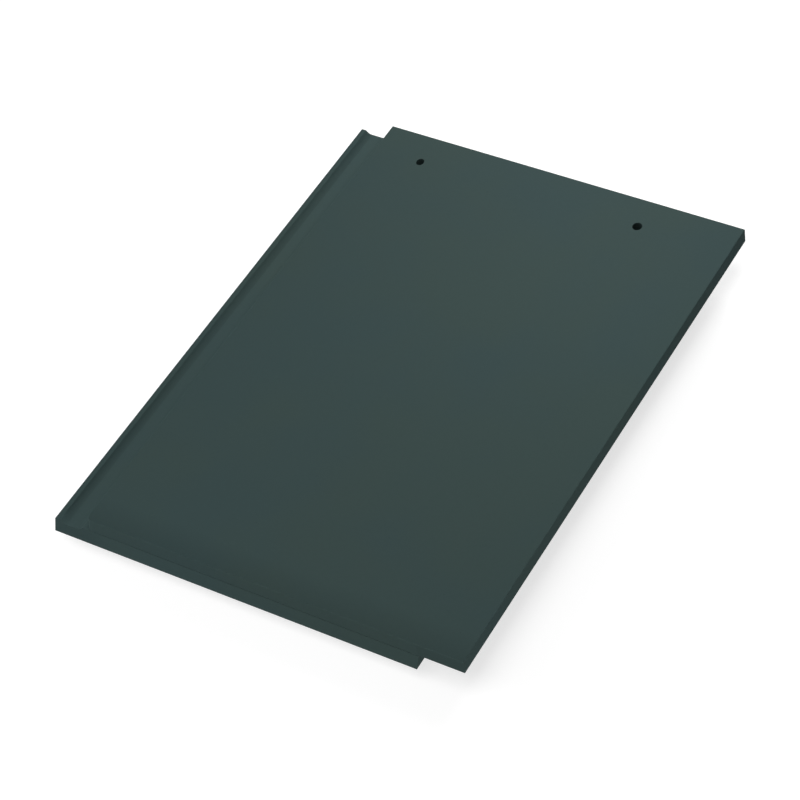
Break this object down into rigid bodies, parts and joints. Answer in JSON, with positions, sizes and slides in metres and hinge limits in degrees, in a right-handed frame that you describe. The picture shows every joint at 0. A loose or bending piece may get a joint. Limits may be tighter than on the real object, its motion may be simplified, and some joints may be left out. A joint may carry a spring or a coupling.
{
  "type": "flat interlocking roof tile",
  "caption": "Flat concrete roof tile with a side lock, a deep square nose, head nibs and nail holes, for a tile-and-batten pitched roof.",
  "frame": {"origin": "centre of the tile's outline, at the level of the bottom of the nibs", "axes": "+Y from the nose to the head, +Z out of the weather face, +X to the overlock side"},
  "size_m": [0.33, 0.432, 0.0385],
  "materials": {
    "concrete": "smooth, matt to satin, coloured through, dark slate grey-green"
  },
  "bodies": {
    "root": {"roof_tile": "concrete"}
  },
  "joints": []
}
